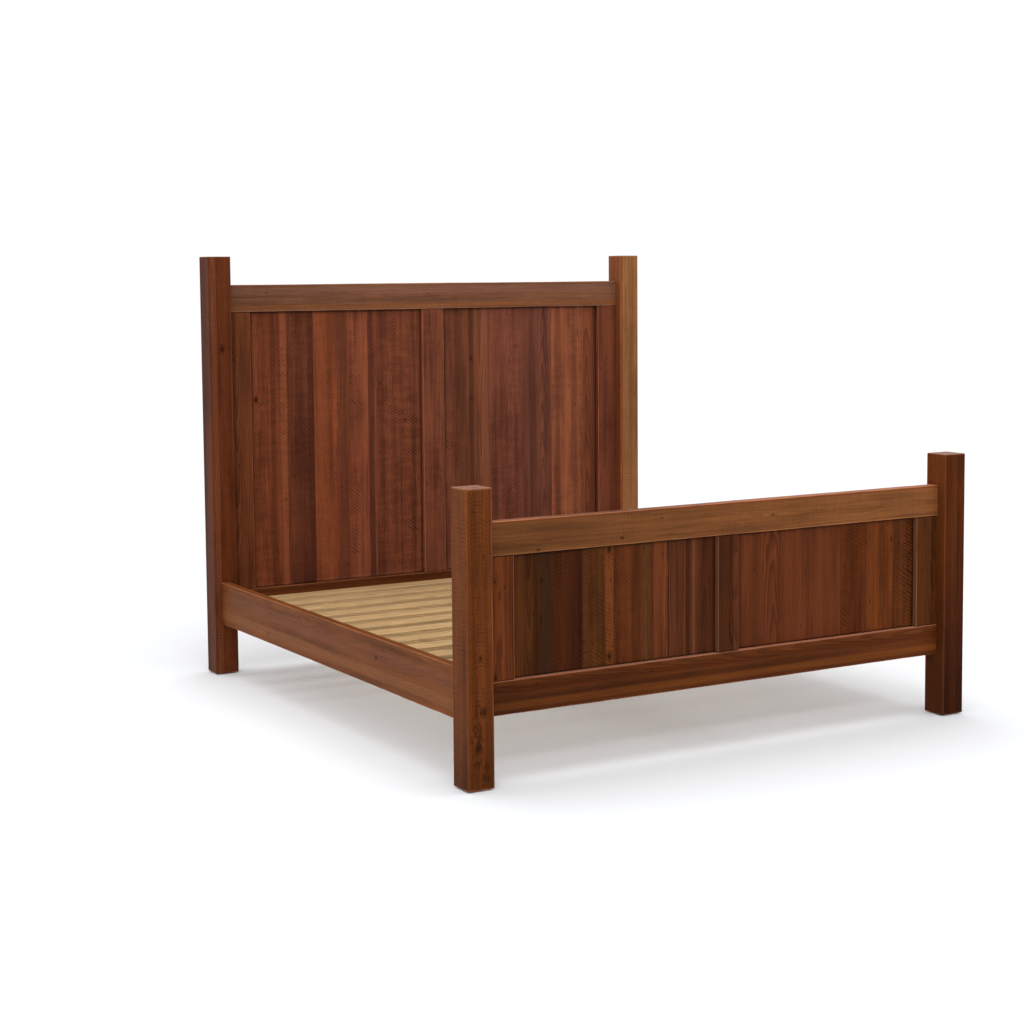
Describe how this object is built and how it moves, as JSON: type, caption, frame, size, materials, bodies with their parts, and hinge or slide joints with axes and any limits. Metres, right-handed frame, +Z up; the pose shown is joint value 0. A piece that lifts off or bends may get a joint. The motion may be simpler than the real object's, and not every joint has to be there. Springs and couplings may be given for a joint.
{
  "type": "panel bed frame",
  "caption": "Rustic reclaimed-wood king bed frame: square posts, frame-and-panel headboard and footboard, hook-on side rails and a slatted deck on a centre beam.",
  "frame": {"origin": "on the floor, in the middle of the bed's length and width", "axes": "+Z up, +Y along the bed from the foot to the head, +X to the right seen from the foot"},
  "size_m": [2.108, 2.25, 1.73],
  "materials": {
    "post_wood": "satin reclaimed wood, red-brown, sawn marks",
    "rail_wood": "satin reclaimed wood, golden red-brown",
    "board_wood": "satin reclaimed boards of mixed tones",
    "deck_wood": "plain sanded softwood",
    "zinc_steel": "zinc plated",
    "nylon": "dark brown nylon"
  },
  "bodies": {
    "bed": {"beam_hanger_foot": "zinc_steel", "beam_hanger_head": "zinc_steel", "centre_beam": "deck_wood", "centre_leg_1": "deck_wood", "centre_leg_2": "deck_wood", "centre_leg_3": "deck_wood", "foot_bottom_rail": "rail_wood", "foot_left_board_1": "board_wood", "foot_left_board_2": "board_wood", "foot_left_board_3": "board_wood", "foot_left_board_4": "board_wood", "foot_left_board_5": "board_wood", "foot_left_board_6": "board_wood", "foot_post_left": "post_wood", "foot_post_right": "post_wood", "foot_right_board_1": "board_wood", "foot_right_board_2": "board_wood", "foot_right_board_3": "board_wood", "foot_right_board_4": "board_wood", "foot_stile_left": "rail_wood", "foot_stile_middle": "rail_wood", "foot_stile_right": "rail_wood", "foot_top_rail": "rail_wood", "hanger_screws": "zinc_steel", "head_bottom_rail": "rail_wood", "head_left_board_1": "board_wood", "head_left_board_2": "board_wood", "head_left_board_3": "board_wood", "head_left_board_4": "board_wood", "head_left_board_5": "board_wood", "head_post_left": "post_wood", "head_post_right": "post_wood", "head_right_board_1": "board_wood", "head_right_board_2": "board_wood", "head_right_board_3": "board_wood", "head_right_board_4": "board_wood", "head_right_board_5": "board_wood", "head_right_board_6": "board_wood", "head_stile_left": "rail_wood", "head_stile_middle": "rail_wood", "head_stile_right": "rail_wood", "head_top_rail": "rail_wood", "hook_plate_screws": "zinc_steel", "hook_plates": "zinc_steel", "ledger_left": "deck_wood", "ledger_right": "deck_wood", "ledger_screws": "zinc_steel", "leg_bolts": "zinc_steel", "leg_inserts": "zinc_steel", "leg_nuts": "zinc_steel", "post_glides": "nylon", "side_rail_left": "rail_wood", "side_rail_right": "rail_wood", "slat_screws": "zinc_steel", "slats": "deck_wood", "slot_plate_screws": "zinc_steel", "slot_plates": "zinc_steel"},
    "glide_1": {"leg_glide_1": "zinc_steel"},
    "glide_2": {"leg_glide_2": "zinc_steel"},
    "glide_3": {"leg_glide_3": "zinc_steel"}
  },
  "joints": [
    {"name": "leg_glide_1_screw", "type": "slide", "parent": "bed", "child": "glide_1", "axis": [0, 0, -1], "range_m": [-0.008, 0.015]},
    {"name": "leg_glide_2_screw", "type": "slide", "parent": "bed", "child": "glide_2", "axis": [0, 0, -1], "range_m": [-0.008, 0.015]},
    {"name": "leg_glide_3_screw", "type": "slide", "parent": "bed", "child": "glide_3", "axis": [0, 0, -1], "range_m": [-0.008, 0.015]}
  ]
}
